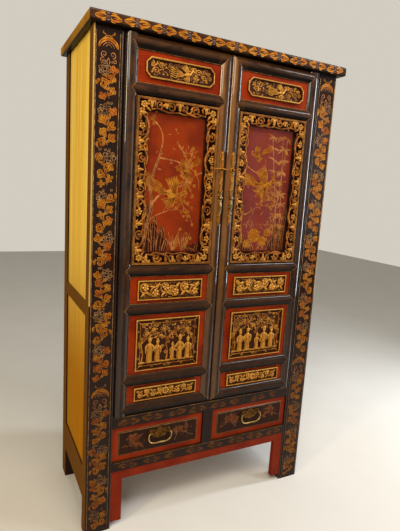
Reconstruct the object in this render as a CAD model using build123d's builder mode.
from build123d import *
import os
from math import asin, degrees, sqrt

# A tall wedding cabinet: a frame-and-panel carcass under a mitred cornice, two doors that turn
# on wooden pivots, and two drawers below them.
#
# Everything is drawn in millimetres from the posts' front plane: x runs to the right from the
# middle of the cabinet, y runs back from the posts' front faces and z runs up from the floor.
# save() then moves each piece so that the origin is under the middle of the whole cabinet.
# Pieces that come in pairs are drawn on the right, where x is positive, and mirrored.

# ---- Carcass ----
height = 1850.0
carcass_width = 1008.0  # over the posts
carcass_depth = 457.0  # over the posts
front_post_width = 99.0
front_post_depth = 50.0
rear_post_width = 55.0
rear_post_depth = 67.0
post_round = 6.0  # rounding of a front post's outer arris
post_bead = 7.0  # bead along a front post's inner arris
post_quirk = 1.6  # groove that sets the bead off

cornice_thickness = 35.5
cornice_front_overhang = 26.0
cornice_side_overhang = 20.0
cornice_rear_overhang = 16.0
cornice_member_width = 90.0
cornice_nose = 7.0
top_panel_thickness = 16.0

floor_to_apron = 203.5
apron_height = 37.0
apron_thickness = 20.0
apron_setback = 4.0
apron_strip_width = 45.0
apron_strip_foot = 25.0  # floor to the strip's lower end
drawer_rail_height = 37.0
drawer_opening_height = 142.5
sill_height = 44.5
sill_round = 3.0
rail_depth = 46.0
divider_width = 44.0

side_mid_rail_bottom = 855.0
side_mid_rail_height = 50.0
side_mid_rail_thickness = 30.0
side_bottom_rail_bottom = 135.0
side_bottom_rail_height = 127.0
side_bottom_rail_thickness = 24.0
side_panel_recess = 5.0  # behind the posts' outer faces
side_panel_groove = 10.0
back_rail_thickness = 25.0
back_rail_inset = 7.0  # in front of the rear posts' back faces
back_bottom_rail_bottom = 200.0
back_panel_groove = 10.0
back_board_count = 3

board_thickness = 14.0
floor_below_sill = 9.5  # compartment floor's top under the sill's top
upper_shelf_height = 1340.0
shelf_setback = 70.0
base_above_rail = 12.5  # base board's underside over the drawer rail's underside
bearer_size = 24.0

# ---- Doors ----
door_end_gap = 4.0  # over and under a door
door_meeting_gap = 1.5
door_side_gap = 1.3
door_back = 20.0  # inner face, behind the posts' front plane
frame_width = 45.0  # stiles and rails
frame_edge = -1.2  # where the half-round moulding starts
frame_crest = -13.2  # its foremost line
pivot_setback = 11.0  # pivot axis behind the posts' front plane
pivot_radius = 8.0
pivot_clearance = 0.3
pivot_length = 20.0  # inside its bore
foot_opening = 68.0
figure_opening = 228.0
waist_opening = 100.0
head_opening = 102.0
panel_thickness = 8.0
panel_setback = 1.0
picture_thickness = 6.0
picture_setback = 12.0

plaque_side_margin = 27.0
foot_plaque_margin = 8.5
figure_plaque_margin = 15.0
waist_plaque_margin = 13.5
head_plaque_margin = 17.5
head_plaque_cant = 17.0
plaque_ground = -3.0  # the face that the carving stands on
plaque_rim_face = -10.0
plaque_rim_width = 5.0

fret_face = -11.0
fret_thickness = 9.0
fret_band = 50.0
fret_edge_strip = 8.0
fret_scallop = 80.0  # about; it is fitted to the strip's length
fret_scallop_depth = 10.0
fret_leaf_length = 50.0
fret_leaf_width = 16.0
fret_leaf_shoulder = 10.0  # from the leaf's middle to where it starts to narrow
fret_lean = 25.0
fret_mitre_gap = 0.2

# ---- Drawers ----
drawer_gap = 1.5
drawer_recess = 9.0
drawer_front_thickness = 18.0
drawer_field_margin_x = 22.0
drawer_field_margin_z = 20.0
drawer_field_rise = 4.0
drawer_field_taper = 45.0
drawer_wall = 12.0
drawer_depth = 386.0
drawer_side_height = 125.0
drawer_bottom_thickness = 6.0
drawer_bottom_height = 8.0
drawer_groove_depth = 5.0
drawer_running_gap = 0.3
runner_bearing_width = 20.0
runner_guide_height = 22.0

# ---- Brass ----
plate_thickness = 1.4
lock_plate_bottom = 1190.0
lock_plate_top = 1470.0
lock_plate_width = 15.0
lock_height = 1402.0
lock_standoff = 10.4  # from the plate to the middle of the eye
lock_eye_radius = 6.5
lock_shank_width = 5.0
lock_pin_radius = 3.0
lock_pin_clearance = 0.3
lock_pin_head_radius = 5.0
lock_pin_tip_gap = 4.0  # from the drawn pin's tip to the middle of the cabinet
lock_pin_overshoot = 4.0  # how far the shot pin shows past the far eye
pull_height = 1322.0
pull_length = 88.0
pull_radius = 7.0  # of the bulb
pull_neck = 2.6
pull_swell = 5.2
pull_ring_wall = 2.6
staple_wire_radius = 1.7
staple_half_width = 6.0
staple_clearance = 0.3
bail_height = 372.0  # height of the bail's pivots
bail_pivot_half_span = 38.0
bail_half_width = 50.0
bail_drop = 44.0
bail_wire_radius = 2.6
bail_standoff = 10.0
bail_clearance = 0.25
bail_eye_width = 6.0
bail_eye_radius = 6.0
bail_end_reach = 1.5  # wire past the eye
bail_top_corner = 4.0
bail_foot_corner = 16.0
handle_hump_radius = 14.0
handle_lobe_radius = 8.5

# ---- Joinery ----
tenon_length = 25.0
tenon_thickness = 13.0
tenon_shoulder = 6.0
grooved_shoulder = 10.0  # beside a panel groove
joint_slack = 0.2  # around a tenon or tongue
groove_depth = 8.0
groove_end_slack = 0.5

# ---- Worked out from the above ----
half_width = carcass_width / 2
opening_half = half_width - front_post_width
rear_post_inner = half_width - rear_post_width
rear_post_face = carcass_depth - rear_post_depth
post_top = height - cornice_thickness

drawer_rail_bottom = floor_to_apron + apron_height
drawer_rail_top = drawer_rail_bottom + drawer_rail_height
sill_bottom = drawer_rail_top + drawer_opening_height
sill_top = sill_bottom + sill_height
side_mid_rail_top = side_mid_rail_bottom + side_mid_rail_height
side_bottom_rail_top = side_bottom_rail_bottom + side_bottom_rail_height
back_rail_back = carcass_depth - back_rail_inset
back_rail_face = back_rail_back - back_rail_thickness
back_groove_y = (back_rail_back - 8.0 - back_panel_groove, back_rail_back - 8.0)
side_groove_x = (half_width - side_panel_recess - side_panel_groove, half_width - side_panel_recess)

cornice_half = half_width + cornice_side_overhang
cornice_front = -cornice_front_overhang
cornice_rear = carcass_depth + cornice_rear_overhang

door_bottom = sill_top + door_end_gap
door_top = post_top - door_end_gap
meeting_edge = door_meeting_gap / 2
meeting_crest = meeting_edge + frame_width / 2
opening_near = meeting_edge + frame_width  # door's panel openings run from here
pivot_round = pivot_setback - frame_crest  # stile's rounding about the pivot
pivot_x = opening_half - door_side_gap - pivot_round
opening_far = pivot_x - frame_width / 2  # to here
moulding_rise = frame_edge - frame_crest
moulding_radius = ((frame_width / 2) ** 2 + moulding_rise**2) / (2 * moulding_rise)
panel_groove_y = (panel_setback, panel_setback + panel_thickness)
picture_groove_y = (picture_setback, picture_setback + picture_thickness)
panel_face = panel_setback + joint_slack

picture_opening = (
    door_top - door_bottom - 6 * frame_width - foot_opening - figure_opening - waist_opening - head_opening
)
opening_heights = [foot_opening, figure_opening, waist_opening, picture_opening, head_opening]
opening_bottoms = []
level = door_bottom + frame_width
for opening_height in opening_heights:
    opening_bottoms.append(level)
    level += opening_height + frame_width
openings_z = [(low, low + tall) for low, tall in zip(opening_bottoms, opening_heights)]
rail_middles = [door_bottom + frame_width / 2] + [top + frame_width / 2 for _, top in openings_z]
PICTURE = 3  # the picture opening's place in those lists

hardware_y = frame_crest - plate_thickness - lock_standoff
front_reach = pull_radius - hardware_y  # foremost point before the posts' front plane
shift_y = (front_reach - cornice_rear) / 2  # brings the middle of the whole depth to y = 0


def save(label, *pieces):
    """Write one node: a piece, or a few like pieces that share a name."""
    placed = [piece.moved(Location((0, shift_y, 0))) for piece in pieces]
    node = placed[0] if len(placed) == 1 else Compound(children=placed)
    node.label = label
    export_step(node, f"parts/{label}.step")


def save_pair(label, *pieces):
    """Write the right-hand node as drawn and its mirror image for the left."""
    save(f"right_{label}", *pieces)
    save(f"left_{label}", *[piece.mirror(Plane.YZ) for piece in pieces])


def block(x, y, z, mode=Mode.ADD):
    """A square-edged block between pairs of limits, in the open part."""
    with Locations((sum(x) / 2, sum(y) / 2, sum(z) / 2)):
        Box(x[1] - x[0], y[1] - y[0], z[1] - z[0], mode=mode)


def grown(limits, by=joint_slack):
    """A pair of limits moved apart, as a mortise's are from its tenon's."""
    return (limits[0] - by, limits[1] + by)


def shrunk(limits, by):
    return (limits[0] + by, limits[1] - by)


def mirrored(limits):
    return (-limits[1], -limits[0])


def mortise(x, y, z):
    """The socket of a tenon that has these limits, in the open part."""
    block(grown(x), grown(y), grown(z), mode=Mode.SUBTRACT)


def middle_band(limits, size):
    """A band of the given size in the middle of a pair of limits."""
    middle = sum(limits) / 2
    return (middle - size / 2, middle + size / 2)


def faceted(plane, outline):
    """A small turned form with eight flats, about the plane's y axis: (radius, place) pairs."""
    reach = max(radius for radius, _ in outline) + 1
    silhouette = outline + [(-radius, place) for radius, place in reversed(outline) if radius]
    with BuildPart() as form:
        for turn in range(4):
            across = plane.x_dir.rotate(Axis((0, 0, 0), plane.y_dir), 45 * turn)
            with BuildSketch(Plane(origin=plane.origin, x_dir=across, z_dir=across.cross(plane.y_dir))):
                with BuildLine():
                    Polyline(*silhouette, close=True)
                make_face()
            extrude(amount=reach, both=True, mode=Mode.INTERSECT if turn else Mode.ADD)
    return form.part


def ball_outline(radius):
    """The outline of a ball as far as its eight flats can follow it."""
    flat = radius * 0.41
    return [(flat, -radius), (radius, -flat), (radius, flat), (flat, radius)]


os.makedirs("parts", exist_ok=True)

# Limits of the tenons, each used once for the tenon and once for its mortise.
front_tenon_x = (opening_half, opening_half + tenon_length)
front_tenon_y = middle_band((0, rail_depth), tenon_thickness)
sill_tenon_z = shrunk((sill_bottom, sill_top), tenon_shoulder)
drawer_rail_tenon_z = shrunk((drawer_rail_bottom, drawer_rail_top), tenon_shoulder)
side_front_tenon_y = (front_post_depth - tenon_length, front_post_depth)
side_rear_tenon_y = (rear_post_face, rear_post_face + tenon_length)
side_mid_x = (half_width - side_mid_rail_thickness, half_width)
side_mid_z = (side_mid_rail_bottom, side_mid_rail_top)
side_mid_tenon_x = middle_band(side_mid_x, tenon_thickness)
side_mid_tenon_z = shrunk(side_mid_z, grooved_shoulder)
side_bottom_x = (half_width - side_bottom_rail_thickness, half_width)
side_bottom_z = (side_bottom_rail_bottom, side_bottom_rail_top)
side_bottom_tenon_x = middle_band(side_bottom_x, tenon_thickness)
side_bottom_tenon_z = shrunk(side_bottom_z, 2 * tenon_shoulder)
back_rail_y = (back_rail_face, back_rail_back)
back_tenon_x = (rear_post_inner, rear_post_inner + tenon_length)
back_tenon_y = middle_band(back_rail_y, tenon_thickness)
back_mid_z = side_mid_z
back_bottom_z = (back_bottom_rail_bottom, side_bottom_rail_top)
front_top_tenon_x = (opening_half + 15, opening_half + 45)
front_top_tenon_y = middle_band((0, front_post_depth), 22)
rear_top_tenon_x = (rear_post_inner + 11, rear_post_inner + 24)
rear_top_tenon_y = (rear_post_face + 36, rear_post_face + 52)
top_tenon_z = (post_top, post_top + 22)
divider_half = divider_width / 2
divider_tenon_x = (-divider_half + tenon_shoulder, divider_half - tenon_shoulder)
divider_tenon_length = 12.0

# ======================================================================= cornice
cornice_z = (post_top, height)
top_tongue_z = middle_band((height - top_panel_thickness, height), top_panel_thickness / 2)
inner_half = cornice_half - cornice_member_width
inner_front = cornice_front + cornice_member_width
inner_rear = cornice_rear - cornice_member_width


def cornice_member(corners, nose_axis, group_axis, side):
    """A mitred member of the cornice, seen from above, with its outer arrises rounded."""
    with BuildPart() as member:
        with BuildSketch(Plane.XY.offset(post_top)):
            with BuildLine():
                Polyline(*corners, close=True)
            make_face()
        extrude(amount=cornice_thickness)
        fillet(member.edges().filter_by(nose_axis).group_by(group_axis)[side], cornice_nose)
        block(
            grown((-inner_half, inner_half), groove_depth),
            grown((inner_front, inner_rear), groove_depth),
            grown(top_tongue_z),
            mode=Mode.SUBTRACT,
        )
    return member


front_member = cornice_member(
    [(-cornice_half, cornice_front), (cornice_half, cornice_front),
     (inner_half, inner_front), (-inner_half, inner_front)], Axis.X, Axis.Y, 0)
with BuildPart() as cornice_front_rail:
    add(front_member.part)
    for side in (-1, 1):
        with BuildSketch(Plane.XY.offset(post_top)):
            with Locations((side * pivot_x, pivot_setback)):
                Circle(pivot_radius + pivot_clearance)
        extrude(amount=pivot_length + 1, mode=Mode.SUBTRACT)
    for tenon_x in (front_top_tenon_x, mirrored(front_top_tenon_x)):
        mortise(tenon_x, front_top_tenon_y, top_tenon_z)
save("cornice_front_rail", cornice_front_rail.part)

rear_member = cornice_member(
    [(-cornice_half, cornice_rear), (cornice_half, cornice_rear),
     (inner_half, inner_rear), (-inner_half, inner_rear)], Axis.X, Axis.Y, -1)
back_groove_z = (post_top - 1, post_top + groove_depth)
with BuildPart() as cornice_rear_rail:
    add(rear_member.part)
    block(grown((-rear_post_inner, rear_post_inner), groove_depth), back_groove_y, back_groove_z,
          mode=Mode.SUBTRACT)
    for tenon_x in (rear_top_tenon_x, mirrored(rear_top_tenon_x)):
        mortise(tenon_x, rear_top_tenon_y, top_tenon_z)
save("cornice_rear_rail", cornice_rear_rail.part)

end_member = cornice_member(
    [(cornice_half, cornice_front), (cornice_half, cornice_rear),
     (inner_half, inner_rear), (inner_half, inner_front)], Axis.Y, Axis.X, -1)
side_groove_y = grown((front_post_depth, rear_post_face), groove_depth)
with BuildPart() as cornice_end_rail:
    add(end_member.part)
    block(side_groove_x, side_groove_y, back_groove_z, mode=Mode.SUBTRACT)
save_pair("cornice_end_rail", cornice_end_rail.part)

with BuildPart() as top_panel:
    block(
        shrunk((-inner_half, inner_half), joint_slack),
        shrunk((inner_front, inner_rear), joint_slack),
        (height - top_panel_thickness, height),
    )
    block(
        grown((-inner_half, inner_half), groove_depth - groove_end_slack),
        grown((inner_front, inner_rear), groove_depth - groove_end_slack),
        top_tongue_z,
    )
save("top_panel", top_panel.part)

# ======================================================================= posts
side_groove_z = (side_bottom_rail_top - groove_depth, post_top)
with BuildPart() as front_post:
    with BuildSketch() as post_section:
        with Locations((opening_half, 0)):
            Rectangle(front_post_width, front_post_depth, align=Align.MIN)
        with Locations((opening_half + post_bead, 0)):
            Rectangle(post_quirk, post_bead / 2, align=Align.MIN, mode=Mode.SUBTRACT)
        arris = post_section.vertices().group_by(Axis.Y)[0].sort_by(Axis.X)
        fillet(arris[:2], post_bead / 2 - 0.1)
        fillet(post_section.vertices().group_by(Axis.Y)[0].sort_by(Axis.X)[-1], post_round)
    extrude(amount=post_top)
    block(front_top_tenon_x, front_top_tenon_y, top_tenon_z)
    mortise(front_tenon_x, front_tenon_y, sill_tenon_z)
    mortise(front_tenon_x, front_tenon_y, drawer_rail_tenon_z)
    mortise(side_mid_tenon_x, side_front_tenon_y, side_mid_tenon_z)
    mortise(side_bottom_tenon_x, side_front_tenon_y, side_bottom_tenon_z)
    block(side_groove_x, (front_post_depth - groove_depth, front_post_depth), side_groove_z,
          mode=Mode.SUBTRACT)
save_pair("front_post", front_post.part)

with BuildPart() as rear_post:
    block((rear_post_inner, half_width), (rear_post_face, carcass_depth), (0, post_top))
    block(rear_top_tenon_x, rear_top_tenon_y, top_tenon_z)
    mortise(side_mid_tenon_x, side_rear_tenon_y, side_mid_tenon_z)
    mortise(side_bottom_tenon_x, side_rear_tenon_y, side_bottom_tenon_z)
    for rail_z in (back_mid_z, back_bottom_z):
        mortise(back_tenon_x, back_tenon_y, shrunk(rail_z, grooved_shoulder))
    block(side_groove_x, (rear_post_face, rear_post_face + groove_depth), side_groove_z,
          mode=Mode.SUBTRACT)
    block((rear_post_inner, rear_post_inner + groove_depth), back_groove_y, side_groove_z,
          mode=Mode.SUBTRACT)
save_pair("rear_post", rear_post.part)

# ======================================================================= front rails
floor_top = sill_top - floor_below_sill
floor_z = (floor_top - board_thickness, floor_top)
base_bottom = drawer_rail_bottom + base_above_rail
base_z = (base_bottom, base_bottom + board_thickness)
rail_groove_y = (rail_depth - groove_depth, rail_depth)
whole_opening_x = (-opening_half, opening_half)
divider_top_tenon_z = (sill_bottom, sill_bottom + divider_tenon_length)
divider_foot_tenon_z = (drawer_rail_top - divider_tenon_length, drawer_rail_top)

with BuildPart() as door_sill_rail:
    block(whole_opening_x, (0, rail_depth), (sill_bottom, sill_top))
    fillet(door_sill_rail.edges().filter_by(Axis.X).group_by(Axis.Z)[-1].sort_by(Axis.Y)[0], sill_round)
    block(grown(whole_opening_x, tenon_length), front_tenon_y, sill_tenon_z)
    for side in (-1, 1):
        with BuildSketch(Plane.XY.offset(sill_top)):
            with Locations((side * pivot_x, pivot_setback)):
                Circle(pivot_radius + pivot_clearance)
        extrude(amount=-(pivot_length + pivot_clearance), mode=Mode.SUBTRACT)
    mortise(divider_tenon_x, front_tenon_y, divider_top_tenon_z)
    block(whole_opening_x, rail_groove_y, grown(floor_z), mode=Mode.SUBTRACT)
save("door_sill_rail", door_sill_rail.part)

with BuildPart() as drawer_rail:
    block(whole_opening_x, (0, rail_depth), (drawer_rail_bottom, drawer_rail_top))
    block(grown(whole_opening_x, tenon_length), front_tenon_y, drawer_rail_tenon_z)
    mortise(divider_tenon_x, front_tenon_y, divider_foot_tenon_z)
    block(whole_opening_x, rail_groove_y, grown(base_z), mode=Mode.SUBTRACT)
save("drawer_rail", drawer_rail.part)

with BuildPart() as drawer_divider:
    block((-divider_half, divider_half), (0, rail_depth), (drawer_rail_top, sill_bottom))
    block(divider_tenon_x, front_tenon_y, (divider_foot_tenon_z[0], divider_top_tenon_z[1]))
save("drawer_divider", drawer_divider.part)

# The apron and the strips below it meet in a mitre from the post's corner to the inner corner.
apron_y = apron_setback
strip_inner = opening_half - apron_strip_width
with BuildPart() as front_apron:
    with BuildSketch(Plane.XZ.offset(-apron_y)):
        with BuildLine():
            Polyline(
                (-opening_half, drawer_rail_bottom), (opening_half, drawer_rail_bottom),
                (strip_inner, floor_to_apron), (-strip_inner, floor_to_apron), close=True,
            )
        make_face()
    extrude(amount=-apron_thickness)
save("front_apron", front_apron.part)

with BuildPart() as apron_strip:
    with BuildSketch(Plane.XZ.offset(-apron_y)):
        with BuildLine():
            Polyline(
                (opening_half, drawer_rail_bottom), (opening_half, apron_strip_foot),
                (strip_inner, apron_strip_foot), (strip_inner, floor_to_apron), close=True,
            )
        make_face()
    extrude(amount=-apron_thickness)
    fillet(apron_strip.edges().filter_by(Axis.Z).group_by(Axis.X)[0].sort_by(Axis.Y)[0], 3.0)
save_pair("apron_strip", apron_strip.part)

# ======================================================================= sides and back
side_rail_y = (front_post_depth, rear_post_face)
with BuildPart() as side_mid_rail:
    block(side_mid_x, side_rail_y, side_mid_z)
    block(side_mid_tenon_x, grown(side_rail_y, tenon_length), side_mid_tenon_z)
    for edge_z in ((side_mid_z[0], side_mid_z[0] + groove_depth), (side_mid_z[1] - groove_depth, side_mid_z[1])):
        block(side_groove_x, side_rail_y, edge_z, mode=Mode.SUBTRACT)
save_pair("side_mid_rail", side_mid_rail.part)

with BuildPart() as side_bottom_rail:
    block(side_bottom_x, side_rail_y, side_bottom_z)
    block(side_bottom_tenon_x, grown(side_rail_y, tenon_length), side_bottom_tenon_z)
    block(side_groove_x, side_rail_y, (side_bottom_z[1] - groove_depth, side_bottom_z[1]), mode=Mode.SUBTRACT)
save_pair("side_bottom_rail", side_bottom_rail.part)

panel_reach = groove_depth - groove_end_slack
side_panel_x = shrunk(side_groove_x, joint_slack)
side_panel_y = grown(side_rail_y, panel_reach)
upper_panel_z = grown((side_mid_rail_top, post_top), panel_reach)
lower_panel_z = grown((side_bottom_rail_top, side_mid_rail_bottom), panel_reach)
with BuildPart() as upper_side_panel:
    block(side_panel_x, side_panel_y, upper_panel_z)
save_pair("upper_side_panel", upper_side_panel.part)

with BuildPart() as lower_side_panel:
    block(side_panel_x, side_panel_y, lower_panel_z)
save_pair("lower_side_panel", lower_side_panel.part)

back_rail_x = (-rear_post_inner, rear_post_inner)
back_rails = []
for rail_z in (back_mid_z, back_bottom_z):
    with BuildPart() as back_rail:
        block(back_rail_x, back_rail_y, rail_z)
        block(grown(back_rail_x, tenon_length), back_tenon_y, shrunk(rail_z, grooved_shoulder))
        block(back_rail_x, back_groove_y, (rail_z[1] - groove_depth, rail_z[1]), mode=Mode.SUBTRACT)
        if rail_z is back_mid_z:
            block(back_rail_x, back_groove_y, (rail_z[0], rail_z[0] + groove_depth), mode=Mode.SUBTRACT)
    back_rails.append(back_rail.part)
save("back_rails", *back_rails)

board_pitch = 2 * (rear_post_inner + panel_reach) / back_board_count
back_boards = []
for board_z in (upper_panel_z, lower_panel_z):
    for number in range(back_board_count):
        board_left = -rear_post_inner - panel_reach + number * board_pitch
        with BuildPart() as back_board:
            block(
                (board_left + joint_slack, board_left + board_pitch - joint_slack),
                shrunk(back_groove_y, joint_slack),
                board_z,
            )
        back_boards.append(back_board.part)
save("back_boards", *back_boards)

# ======================================================================= boards inside
board_side = side_groove_x[0] - joint_slack
base_side = side_bottom_x[0] - joint_slack


def inner_board(front, z, side, behind_posts):
    """A board between the sides, notched round the posts that it meets."""
    post_clear = front_post_depth + joint_slack
    with BuildPart() as board:
        with BuildSketch(Plane.XY.offset(z[0])):
            with BuildLine():
                if behind_posts:
                    front_points = [(-side, front), (side, front)]
                else:
                    near = opening_half - joint_slack
                    front_points = [(-side, post_clear), (-near, post_clear), (-near, front),
                                    (near, front), (near, post_clear), (side, post_clear)]
                rear_clear = rear_post_face - joint_slack
                rear_half = rear_post_inner - joint_slack
                rear = back_rail_face - joint_slack
                rear_points = [(side, rear_clear), (rear_half, rear_clear), (rear_half, rear),
                               (-rear_half, rear), (-rear_half, rear_clear), (-side, rear_clear)]
                Polyline(*front_points, *rear_points, close=True)
            make_face()
        extrude(amount=z[1] - z[0])
    return board.part


rail_tongue_y = rail_depth - groove_depth + groove_end_slack
save("compartment_floor", inner_board(rail_tongue_y, floor_z, board_side, False))
save("base_board", inner_board(rail_tongue_y, base_z, base_side, False))

# The lower shelf lies on the side and back rails, which stand inside the panels.
lower_shelf_z = (side_mid_rail_top, side_mid_rail_top + board_thickness)
upper_shelf_z = (upper_shelf_height, upper_shelf_height + board_thickness)
with BuildPart() as lower_shelf:
    add(inner_board(shelf_setback, lower_shelf_z, board_side, True))
    block(grown((-rear_post_inner, rear_post_inner), -joint_slack),
          (back_rail_face - 1, back_groove_y[0] - joint_slack), lower_shelf_z)
save("lower_shelf", lower_shelf.part)
save("upper_shelf", inner_board(shelf_setback, upper_shelf_z, board_side, True))

bearers = []
for bearer_top, outer in ((floor_z[0], board_side), (upper_shelf_z[0], board_side), (base_z[0], base_side)):
    with BuildPart() as bearer:
        block((outer - bearer_size, outer), side_rail_y, (bearer_top - bearer_size, bearer_top))
        chamfer(bearer.edges().filter_by(Axis.Y).group_by(Axis.Z)[0].sort_by(Axis.X)[0], 5)
    bearers += [bearer.part, bearer.part.mirror(Plane.YZ)]
save("board_bearers", *bearers)

runner_y = (front_post_depth, drawer_recess + drawer_depth + 20)
runner_guide_z = (drawer_rail_top, drawer_rail_top + runner_guide_height)
with BuildPart() as side_runner:
    block((opening_half - runner_bearing_width, opening_half), runner_y, (base_z[1], drawer_rail_top))
    block((opening_half, opening_half + runner_bearing_width), runner_y, (base_z[1], runner_guide_z[1]))
with BuildPart() as middle_runner:
    block(grown((-divider_half, divider_half), runner_bearing_width), runner_y, (base_z[1], drawer_rail_top))
    block((-divider_half, divider_half), runner_y, runner_guide_z)
save("drawer_runners", side_runner.part, side_runner.part.mirror(Plane.YZ), middle_runner.part)


# ======================================================================= door frame
# The stiles and rails share one half-round section. Each rail's moulded face ends in a point
# that is mitred into the stile, and a square shoulder and a tenon stand behind it.
lap_y = panel_setback
door_tenon_y = (6.0, 16.0)
door_tenon_length = 26.0
door_tenon_half = frame_width / 2 - groove_depth - 1
door_z = (door_bottom, door_top)
clear_front = frame_crest - 5


def mitred_bed(*corners):
    """The bed that a rail's moulded end leaves in a stile, seen from the front."""
    with BuildPart() as bed:
        with BuildSketch(Plane.XZ.offset(-lap_y)):
            with BuildLine():
                Polyline(*corners, close=True)
            make_face()
        extrude(amount=lap_y - clear_front)
    return bed.part


def pointed_socket(z, inner, crest):
    """Cut the bed of a rail's point, which runs from the stile's edge to its crest."""
    bed = mitred_bed((inner, z - frame_width / 2), (crest, z), (inner, z + frame_width / 2))
    add(bed, mode=Mode.SUBTRACT)


def stile_joints(inner, crest, tenon_x, groove_x):
    """Cut one stile for all that enters it: the rails' tenons and the panels' tongues."""
    for z in rail_middles:
        mortise(tenon_x, door_tenon_y, (z - door_tenon_half, z + door_tenon_half))
    for number, opening_z in enumerate(openings_z):
        groove_y = picture_groove_y if number == PICTURE else panel_groove_y
        block(groove_x, groove_y, grown(opening_z, groove_depth), mode=Mode.SUBTRACT)


near_tenon_x = (opening_near - door_tenon_length, opening_near)
far_tenon_x = (opening_far, opening_far + door_tenon_length)

with BuildPart() as meeting_stile:
    with BuildSketch(Plane.XY.offset(door_bottom)):
        with BuildLine():
            ThreePointArc((meeting_edge, frame_edge), (meeting_crest, frame_crest), (opening_near, frame_edge))
            Polyline((opening_near, frame_edge), (opening_near, door_back), (meeting_edge, door_back),
                     (meeting_edge, frame_edge))
        make_face()
    extrude(amount=door_top - door_bottom)
    for rail_z in rail_middles[1:-1]:
        pointed_socket(rail_z, opening_near, meeting_crest)
    for corner_z, inner_z in ((door_bottom, door_bottom + frame_width), (door_top, door_top - frame_width)):
        corner_bed = mitred_bed((opening_near, inner_z), (meeting_edge, corner_z), (opening_near, corner_z))
        add(corner_bed, mode=Mode.SUBTRACT)
    stile_joints(opening_near, meeting_crest, near_tenon_x, (opening_near - groove_depth, opening_near))
save_pair("door_meeting_stile", meeting_stile.part)

# The pivot stile's outer half is rounded about its pivots, so that it turns beside the post.
back_turn = asin((door_back - pivot_setback) / pivot_round)
back_corner_x = pivot_x + sqrt(pivot_round**2 - (door_back - pivot_setback) ** 2)
inner_half_way = frame_width / 4
half_way_y = frame_crest + moulding_radius - sqrt(moulding_radius**2 - inner_half_way**2)
with BuildPart() as pivot_stile:
    with BuildSketch(Plane.XY.offset(door_bottom)):
        with BuildLine():
            ThreePointArc((opening_far, frame_edge), (pivot_x - inner_half_way, half_way_y), (pivot_x, frame_crest))
            CenterArc((pivot_x, pivot_setback), pivot_round, -90, 90 + degrees(back_turn))
            Polyline((back_corner_x, door_back), (opening_far, door_back), (opening_far, frame_edge))
        make_face()
    extrude(amount=door_top - door_bottom)
    for rail_z in rail_middles:
        pointed_socket(rail_z, opening_far, pivot_x)
    stile_joints(opening_far, pivot_x, far_tenon_x, (opening_far, opening_far + groove_depth))
    with BuildSketch(Plane.XY.offset(door_bottom - door_end_gap - pivot_length)):
        with Locations((pivot_x, pivot_setback)):
            Circle(pivot_radius)
    extrude(amount=door_end_gap + pivot_length)
    with BuildSketch(Plane.XY.offset(door_top)):
        with Locations((pivot_x, pivot_setback)):
            Circle(pivot_radius)
    extrude(amount=door_end_gap + pivot_length)
save_pair("door_pivot_stile", pivot_stile.part)


def door_rail(number):
    """One of the six rails, numbered from the bottom: moulded face, shoulders, tenons, grooves."""
    z = rail_middles[number]
    half = frame_width / 2
    low, high = z - half, z + half
    near_points = [(opening_near, low), (meeting_crest, z), (opening_near, high)]
    if number == 0:
        near_points = [(meeting_edge, low), (opening_near, high)]
    if number == len(rail_middles) - 1:
        near_points = [(opening_near, low), (meeting_edge, high)]
    with BuildPart() as rail:
        with BuildSketch(Plane.YZ.offset(meeting_edge)):
            with BuildLine():
                ThreePointArc((frame_edge, low), (frame_crest, z), (frame_edge, high))
                Polyline((frame_edge, high), (door_back, high), (door_back, low), (frame_edge, low))
            make_face()
        extrude(amount=pivot_x - meeting_edge)
        with BuildSketch(Plane.XZ.offset(-lap_y)):
            with BuildLine():
                Polyline(*near_points, (opening_far, high), (pivot_x, z), (opening_far, low), close=True)
            make_face()
        extrude(amount=lap_y - clear_front, mode=Mode.INTERSECT)
        block((opening_near, opening_far), (lap_y, door_back), (low, high))
        block((near_tenon_x[0], far_tenon_x[1]), door_tenon_y, (z - door_tenon_half, z + door_tenon_half))
        if number > 0:
            groove_y = picture_groove_y if number - 1 == PICTURE else panel_groove_y
            block((opening_near, opening_far), groove_y, (low, low + groove_depth), mode=Mode.SUBTRACT)
        if number < len(rail_middles) - 1:
            groove_y = picture_groove_y if number == PICTURE else panel_groove_y
            block((opening_near, opening_far), groove_y, (high - groove_depth, high), mode=Mode.SUBTRACT)
    return rail.part


save_pair("door_rails", *[door_rail(number) for number in range(len(rail_middles))])

panel_x = grown((opening_near, opening_far), panel_reach)
door_panels = []
for number, opening_z in enumerate(openings_z):
    if number != PICTURE:
        with BuildPart() as door_panel:
            block(panel_x, shrunk(panel_groove_y, joint_slack), grown(opening_z, panel_reach))
        door_panels.append(door_panel.part)
save_pair("door_panels", *door_panels)

with BuildPart() as picture_panel:
    block(panel_x, shrunk(picture_groove_y, joint_slack), grown(openings_z[PICTURE], panel_reach))
save_pair("door_picture_panel", picture_panel.part)


# ======================================================================= plaques
def plaque(opening_z, margin, cant):
    """A framed plaque planted on a door panel: a ground for the carving inside a raised rim."""
    x = shrunk((opening_near, opening_far), plaque_side_margin)
    z = shrunk(opening_z, margin)
    with BuildPart() as slab:
        with BuildSketch(Plane.XZ.offset(-panel_face)) as outline:
            with Locations((sum(x) / 2, sum(z) / 2)):
                Rectangle(x[1] - x[0], z[1] - z[0])
            if cant:
                chamfer(outline.vertices(), cant)
        extrude(amount=panel_face - plaque_ground)
        with BuildSketch(Plane.XZ.offset(-plaque_ground)):
            add(outline.sketch_local)
            offset(outline.sketch_local, amount=-plaque_rim_width, kind=Kind.INTERSECTION, mode=Mode.SUBTRACT)
        extrude(amount=plaque_ground - plaque_rim_face)
    return slab.part


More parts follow.
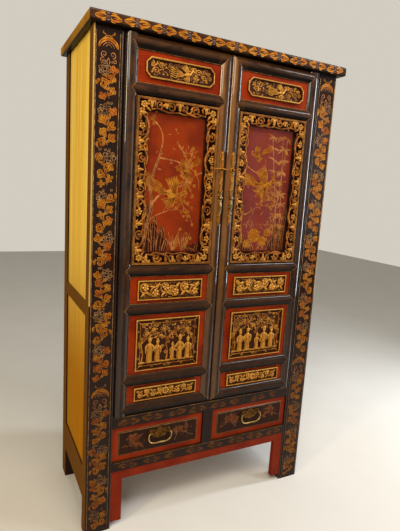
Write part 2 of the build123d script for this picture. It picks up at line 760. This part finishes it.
save_pair(
    "door_plaques",
    plaque(openings_z[0], foot_plaque_margin, 0),
    plaque(openings_z[1], figure_plaque_margin, 0),
    plaque(openings_z[2], waist_plaque_margin, 0),
    plaque(openings_z[4], head_plaque_margin, head_plaque_cant),
)


# ======================================================================= fret border
# Four mitred strips frame the picture: a straight outer edge, and a pierced scroll that ends in
# scallops towards the picture. The openings lean to one side and the other in turn.
def leaf(centre, lean):
    """A pointed opening, drawn flat for a sketch to take in."""
    with BuildSketch() as opening:
        with BuildLine():
            Polyline(
                (-fret_leaf_length / 2, 0), (-fret_leaf_shoulder, fret_leaf_width / 2),
                (fret_leaf_shoulder, fret_leaf_width / 2), (fret_leaf_length / 2, 0),
                (fret_leaf_shoulder, -fret_leaf_width / 2), (-fret_leaf_shoulder, -fret_leaf_width / 2), close=True,
            )
        make_face()
    return opening.sketch.moved(Location((centre[0], centre[1], 0), (0, 0, lean)))


def fret_strip(corner, along, inward, length):
    """One strip, drawn from a corner of the opening along its side, with a mitre at each end."""
    face = Plane(origin=corner, x_dir=along, z_dir=Vector(*along).cross(Vector(*inward)))
    root = fret_band - fret_scallop_depth
    scallops = max(2, round((length - 2 * root) / fret_scallop))
    pitch = (length - 2 * root) / scallops
    starts = [root + number * pitch for number in range(scallops)]
    with BuildPart() as strip:
        with BuildSketch(face):
            with BuildLine():
                Polyline(
                    (fret_mitre_gap, 0), (length - fret_mitre_gap, 0),
                    (length - fret_edge_strip - fret_mitre_gap, fret_edge_strip),
                    (fret_edge_strip + fret_mitre_gap, fret_edge_strip), close=True,
                )
            make_face()
        extrude(amount=picture_setback + joint_slack - fret_face)
        with BuildSketch(face):
            with BuildLine():
                Polyline((root + fret_mitre_gap, root), (fret_mitre_gap, 0), (length - fret_mitre_gap, 0),
                         (length - root - fret_mitre_gap, root), (length - root, root))
                for start in starts:
                    ThreePointArc((start, root), (start + pitch / 2, fret_band), (start + pitch, root))
                Line((root, root), (root + fret_mitre_gap, root))
            make_face()
            for number, start in enumerate(starts):
                lean = fret_lean if number % 2 == 0 else -fret_lean
                add(leaf((start + pitch / 2, (fret_edge_strip + fret_band) / 2), lean), mode=Mode.SUBTRACT)
        extrude(amount=fret_thickness)
    return strip.part


low, high = openings_z[PICTURE]
fret_width = opening_far - opening_near
fret_height = high - low
save_pair(
    "door_fret_border",
    fret_strip((opening_near, fret_face, high), (1, 0, 0), (0, 0, -1), fret_width),
    fret_strip((opening_far, fret_face, low), (-1, 0, 0), (0, 0, 1), fret_width),
    fret_strip((opening_near, fret_face, low), (0, 0, 1), (1, 0, 0), fret_height),
    fret_strip((opening_far, fret_face, high), (0, 0, -1), (-1, 0, 0), fret_height),
)

# ======================================================================= door brass
# The lock plate is beaten over the meeting stile's moulding. It carries the eye for the lock
# pin and the staple that the pull hangs from.
moulding_centre_y = frame_crest + moulding_radius
plate_middle = (lock_plate_bottom + lock_plate_top) / 2
half_plate = lock_plate_width / 2
with BuildPart() as lock_plate:
    with BuildSketch(Plane.XY.offset(lock_plate_bottom)):
        with Locations((meeting_crest, moulding_centre_y)):
            Circle(moulding_radius + plate_thickness)
            Circle(moulding_radius, mode=Mode.SUBTRACT)
    extrude(amount=lock_plate_top - lock_plate_bottom)
    with BuildSketch(Plane.XZ):
        for end_z, inward in ((lock_plate_bottom, 1), (lock_plate_top, -1)):
            with BuildLine():
                Polyline(
                    (meeting_crest - half_plate, plate_middle),
                    (meeting_crest - half_plate, end_z + inward * 26),
                    (meeting_crest - half_plate - 2.5, end_z + inward * 18),
                    (meeting_crest - half_plate + 1, end_z + inward * 9),
                    (meeting_crest, end_z),
                    (meeting_crest + half_plate - 1, end_z + inward * 9),
                    (meeting_crest + half_plate + 2.5, end_z + inward * 18),
                    (meeting_crest + half_plate, end_z + inward * 26),
                    (meeting_crest + half_plate, plate_middle),
                    close=True,
                )
            make_face()
    extrude(amount=-clear_front, mode=Mode.INTERSECT)

eye_foot_y = frame_crest - plate_thickness
eye_bore = lock_pin_radius + lock_pin_clearance
eye_plane = Plane(origin=(meeting_crest, hardware_y, lock_height), x_dir=(0, 0, 1), z_dir=(0, -1, 0))
with BuildPart() as lock_eye:
    add(faceted(eye_plane, ball_outline(lock_eye_radius)))
    with BuildSketch(Plane.XZ.offset(-eye_foot_y)):
        with Locations((meeting_crest, lock_height)):
            Rectangle(lock_shank_width, lock_shank_width)
    extrude(amount=lock_standoff - eye_bore)
    with BuildSketch(Plane.YZ.offset(meeting_edge)):
        with Locations((hardware_y, lock_height)):
            Circle(eye_bore)
    extrude(amount=frame_width, mode=Mode.SUBTRACT)

with BuildPart() as pull_staple:
    with BuildLine():
        Polyline(
            (meeting_crest - staple_half_width, eye_foot_y, pull_height),
            (meeting_crest - staple_half_width, hardware_y, pull_height),
            (meeting_crest + staple_half_width, hardware_y, pull_height),
            (meeting_crest + staple_half_width, eye_foot_y, pull_height),
        )
    with BuildSketch(Plane.XZ.offset(-eye_foot_y)):
        with Locations((meeting_crest - staple_half_width, pull_height)):
            RegularPolygon(staple_wire_radius, 8)
    sweep(transition=Transition.RIGHT)
save_pair("door_lock_plate", lock_plate.part, lock_eye.part, pull_staple.part)

# The pull: a ring round the staple, and a turned drop with a bulb, a long swell and a finial.
ring_bore = staple_wire_radius + staple_clearance
ring_radius = ring_bore + pull_ring_wall
pull_tip = pull_height - pull_length
pull_plane = Plane(origin=(meeting_crest, hardware_y, 0), x_dir=(1, 0, 0), z_dir=(0, -1, 0))
pull_outline = [
    (pull_neck, pull_height - ring_bore - 1), (pull_neck, pull_height - 0.2 * pull_length),
    (pull_radius, pull_height - 0.27 * pull_length), (pull_radius, pull_height - 0.31 * pull_length),
    (pull_neck, pull_height - 0.38 * pull_length), (pull_swell, pull_height - 0.72 * pull_length),
    (pull_neck, pull_height - 0.88 * pull_length), (pull_neck + 1, pull_height - 0.95 * pull_length),
    (1, pull_tip),
]
with BuildPart() as pull:
    add(faceted(pull_plane, pull_outline))
    with BuildSketch(Plane.YZ.offset(meeting_crest - pull_neck)):
        with Locations((hardware_y, pull_height)):
            RegularPolygon(ring_radius, 8)
    extrude(amount=2 * pull_neck)
    with BuildSketch(Plane.YZ.offset(meeting_crest - 2 * pull_neck)):
        with Locations((hardware_y, pull_height)):
            RegularPolygon(ring_bore, 8, major_radius=False)
    extrude(amount=4 * pull_neck, mode=Mode.SUBTRACT)
save_pair("door_pull", pull.part)

# The lock pin is drawn to the left, out of the right door's eye.
pin_tip = -lock_pin_tip_gap
pin_travel = lock_pin_tip_gap + meeting_crest + lock_eye_radius + lock_pin_overshoot
pin_head = -(meeting_crest + lock_eye_radius) - lock_pin_head_radius - pin_travel
head_plane = Plane(origin=(pin_head, hardware_y, lock_height), x_dir=(0, 0, 1), z_dir=(0, -1, 0))
with BuildPart() as lock_pin:
    with BuildSketch(Plane.YZ.offset(pin_head)):
        with Locations((hardware_y, lock_height)):
            Circle(lock_pin_radius)
    extrude(amount=pin_tip - pin_head)
    add(faceted(head_plane, ball_outline(lock_pin_head_radius)))
save("lock_pin", lock_pin.part)

# ======================================================================= drawers
drawer_x = (divider_half + drawer_gap, opening_half - drawer_gap)
drawer_middle = sum(drawer_x) / 2
front_y = (drawer_recess, drawer_recess + drawer_front_thickness)
front_z = (drawer_rail_top + drawer_gap, sill_bottom - drawer_gap)
drawer_floor = drawer_rail_top + drawer_running_gap
drawer_side_z = (drawer_floor, drawer_floor + drawer_side_height)
drawer_back_y = drawer_recess + drawer_depth
bottom_z = (drawer_floor + drawer_bottom_height, drawer_floor + drawer_bottom_height + drawer_bottom_thickness)
side_tongue = 8.0
inner_x = shrunk(drawer_x, drawer_wall)
field_face = drawer_recess - drawer_field_rise
side_walls_x = ((drawer_x[0], inner_x[0]), (inner_x[1], drawer_x[1]))

with BuildPart() as drawer_front:
    block(drawer_x, front_y, front_z)
    with BuildSketch(Plane.XZ.offset(-drawer_recess)):
        with Locations((drawer_middle, sum(front_z) / 2)):
            Rectangle(drawer_x[1] - drawer_x[0] - 2 * drawer_field_margin_x,
                      front_z[1] - front_z[0] - 2 * drawer_field_margin_z)
    extrude(amount=drawer_field_rise, taper=drawer_field_taper)
    for wall_x in side_walls_x:
        mortise(middle_band(wall_x, drawer_wall / 2), (front_y[1] - side_tongue, front_y[1]),
                shrunk(drawer_side_z, tenon_shoulder))
    block(inner_x, (front_y[1] - drawer_groove_depth, front_y[1]), grown(bottom_z), mode=Mode.SUBTRACT)
save_pair("drawer_front", drawer_front.part)

box_walls = []
for wall_x, groove_x in zip(side_walls_x, ((inner_x[0] - drawer_groove_depth, inner_x[0]),
                                           (inner_x[1], inner_x[1] + drawer_groove_depth))):
    with BuildPart() as wall:
        block(wall_x, (front_y[1], drawer_back_y), drawer_side_z)
        block(middle_band(wall_x, drawer_wall / 2), (front_y[1] - side_tongue, front_y[1]),
              shrunk(drawer_side_z, tenon_shoulder))
        block(groove_x, (front_y[1], drawer_back_y), grown(bottom_z), mode=Mode.SUBTRACT)
    box_walls.append(wall.part)
with BuildPart() as drawer_back:
    block(inner_x, (drawer_back_y - drawer_wall, drawer_back_y), (bottom_z[1] + joint_slack, drawer_side_z[1]))
box_walls.append(drawer_back.part)
save_pair("drawer_box", *box_walls)

bottom_reach = drawer_groove_depth - groove_end_slack
with BuildPart() as drawer_bottom:
    block(grown(inner_x, bottom_reach), (front_y[1] - bottom_reach, drawer_back_y), bottom_z)
    block(grown(inner_x, bottom_reach + 1), (front_y[1] - drawer_groove_depth - 1, front_y[1]), grown(bottom_z, 1),
          mode=Mode.SUBTRACT)
    block(inner_x, (front_y[1] - bottom_reach, front_y[1] + 1), bottom_z)
save_pair("drawer_bottom", drawer_bottom.part)

# The handle: a cloud-shaped plate with two eyes, and a bail that turns in them.
bail_y = field_face - plate_thickness - bail_standoff
with BuildPart() as handle_plate:
    with BuildSketch(Plane.XZ.offset(-field_face)):
        with Locations((drawer_middle, bail_height)):
            Rectangle(2 * bail_pivot_half_span, 10)
        with Locations((drawer_middle, bail_height + 3)):
            Circle(handle_hump_radius)
        with Locations((drawer_middle - bail_pivot_half_span, bail_height),
                       (drawer_middle + bail_pivot_half_span, bail_height)):
            Circle(handle_lobe_radius)
    extrude(amount=plate_thickness)
    for side in (-1, 1):
        post_x = drawer_middle + side * bail_pivot_half_span
        with BuildSketch(Plane.XZ.offset(-field_face)):
            with Locations((post_x, bail_height)):
                Rectangle(bail_eye_width - 1, bail_eye_width - 1)
        extrude(amount=field_face - bail_y)
        with BuildSketch(Plane.YZ.offset(post_x - bail_eye_width / 2)):
            with Locations((bail_y, bail_height)):
                RegularPolygon(bail_eye_radius, 8)
        extrude(amount=bail_eye_width)
    with BuildSketch(Plane.YZ.offset(drawer_middle - bail_half_width)):
        with Locations((bail_y, bail_height)):
            RegularPolygon(bail_wire_radius + bail_clearance, 8, major_radius=False)
    extrude(amount=2 * bail_half_width, mode=Mode.SUBTRACT)
save_pair("drawer_handle_plate", handle_plate.part)

bail_end = bail_pivot_half_span - bail_eye_width / 2 - bail_end_reach
bail_top_turn = bail_half_width - bail_top_corner
bail_foot_turn = bail_half_width - bail_foot_corner
bail_foot = bail_height - bail_drop
with BuildPart() as bail:
    with BuildLine():
        Polyline(
            (drawer_middle - bail_end, bail_y, bail_height),
            (drawer_middle - bail_top_turn, bail_y, bail_height),
            (drawer_middle - bail_half_width, bail_y, bail_height - bail_top_corner),
            (drawer_middle - bail_half_width, bail_y, bail_foot + bail_foot_corner),
            (drawer_middle - bail_foot_turn, bail_y, bail_foot),
            (drawer_middle + bail_foot_turn, bail_y, bail_foot),
            (drawer_middle + bail_half_width, bail_y, bail_foot + bail_foot_corner),
            (drawer_middle + bail_half_width, bail_y, bail_height - bail_top_corner),
            (drawer_middle + bail_top_turn, bail_y, bail_height),
            (drawer_middle + bail_end, bail_y, bail_height),
        )
    with BuildSketch(Plane.YZ.offset(drawer_middle - bail_end)):
        with Locations((bail_y, bail_height)):
            RegularPolygon(bail_wire_radius, 8)
    sweep(transition=Transition.RIGHT)
save_pair("drawer_bail", bail.part)
